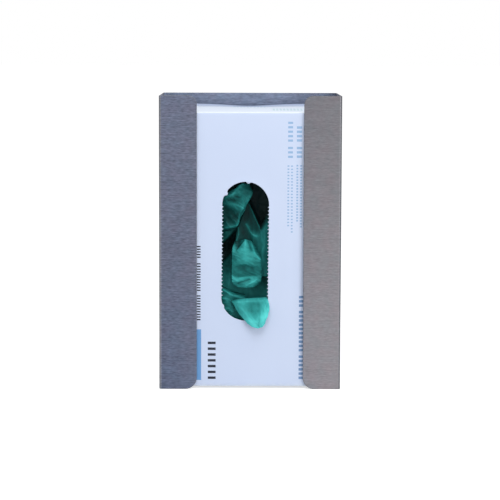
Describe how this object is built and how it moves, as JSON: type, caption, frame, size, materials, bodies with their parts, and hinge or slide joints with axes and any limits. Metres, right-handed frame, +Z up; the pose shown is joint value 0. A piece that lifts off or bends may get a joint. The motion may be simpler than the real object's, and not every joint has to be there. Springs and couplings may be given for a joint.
{
  "type": "disposable glove dispenser",
  "caption": "Wall-mounted folded steel holder with two front lips and an open top, holding a carton of disposable gloves that come out through a round-ended front slot.",
  "frame": {"origin": "centre of the holder's footprint, on the underside of its shelf", "axes": "+Z up; -Y out of the front, through the slot; +Y into the wall; +X to the right seen from the front"},
  "size_m": [0.157, 0.1002, 0.254],
  "materials": {
    "steel": "horizontal brushed grain, satin",
    "board": "smooth coated board, pale blue-white",
    "glove": "thin nitrile film, semi-gloss, teal green"
  },
  "bodies": {
    "root": {"holder": "steel", "carton": "board", "glove_stack": "glove", "glove_front": "glove", "glove_centre": "glove", "glove_upper": "glove", "glove_right": "glove", "glove_lower": "glove"}
  },
  "joints": []
}
